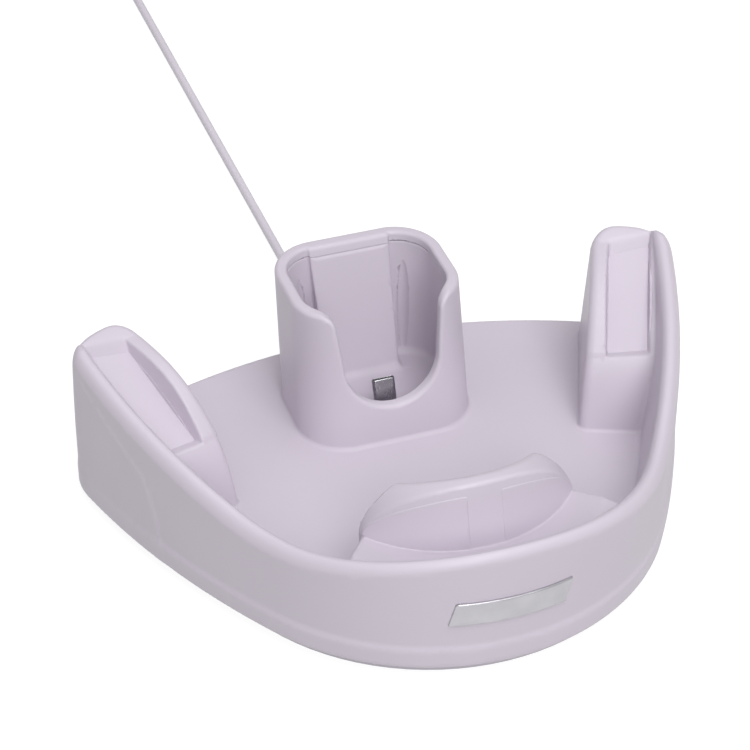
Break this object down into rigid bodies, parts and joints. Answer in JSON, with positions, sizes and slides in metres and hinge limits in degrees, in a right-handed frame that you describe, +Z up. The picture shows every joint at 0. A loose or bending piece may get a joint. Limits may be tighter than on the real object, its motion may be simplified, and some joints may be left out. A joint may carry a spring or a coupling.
{
  "type": "charging stand",
  "caption": "Wide plastic charging stand: U-shaped wall with two sloping padded posts, low front rest and a leaning pocket holding a rocking plug, cord at the back.",
  "frame": {"origin": "middle of the stand's footprint on the table, cord left out", "axes": "+X to the right seen from the front, +Y to the back where the cord leaves, +Z up"},
  "size_m": [0.2184, 0.5447, 0.0635],
  "materials": {
    "housing": "fine moulded satin",
    "liner": "fine moulded satin",
    "base": "moulded, fine grain",
    "feet": "matt",
    "screws": "zinc plated",
    "pads": "soft matt",
    "badge": "satin silver",
    "contact_shell": "drawn, satin",
    "insulator": "moulded",
    "contacts": "gold plated",
    "carrier": "moulded",
    "steel": "ground",
    "bracket": "moulded",
    "board": "solder mask",
    "chips": "moulded",
    "cord": "soft satin jacket",
    "relief": "satin",
    "ballast": "zinc plated",
    "tape": "foam tape",
    "tie": "matt strap",
    "plug_body": "satin overmould",
    "plug_steel": "drawn, satin",
    "plug_insert": "moulded"
  },
  "bodies": {
    "dock": {"top_housing": "housing", "pocket_shell": "housing", "pocket_liner": "liner", "bottom_cover": "base", "rubber_feet": "feet", "cover_screws": "screws", "left_post_pad": "pads", "right_post_pad": "pads", "left_rest_pad": "pads", "right_rest_pad": "pads", "badge": "badge", "carrier_pin": "steel", "carrier_springs": "steel", "carrier_bracket": "bracket", "bracket_screws": "screws", "inner_lead": "cord", "strain_relief": "relief", "cable_clamp": "bracket", "clamp_screws": "screws", "ballast_plate": "ballast", "ballast_tape": "tape", "cord": "cord", "cord_coil": "cord", "cord_tail": "cord", "coil_tie": "tie", "usb_plug_body": "plug_body", "usb_plug_shell": "plug_steel", "usb_plug_insert": "plug_insert"},
    "rocker": {"plug_shell": "contact_shell", "plug_insulator": "insulator", "plug_contacts": "contacts", "plug_carrier": "carrier", "connector_board": "board", "board_parts": "chips"}
  },
  "joints": [
    {"name": "plug_rock", "type": "hinge", "parent": "dock", "child": "rocker", "pos_m": [0, 0.0322, 0.0096], "axis": [1, 0, 0], "range_deg": [-4, 4], "stiffness_Nm_per_rad": 0.05}
  ]
}
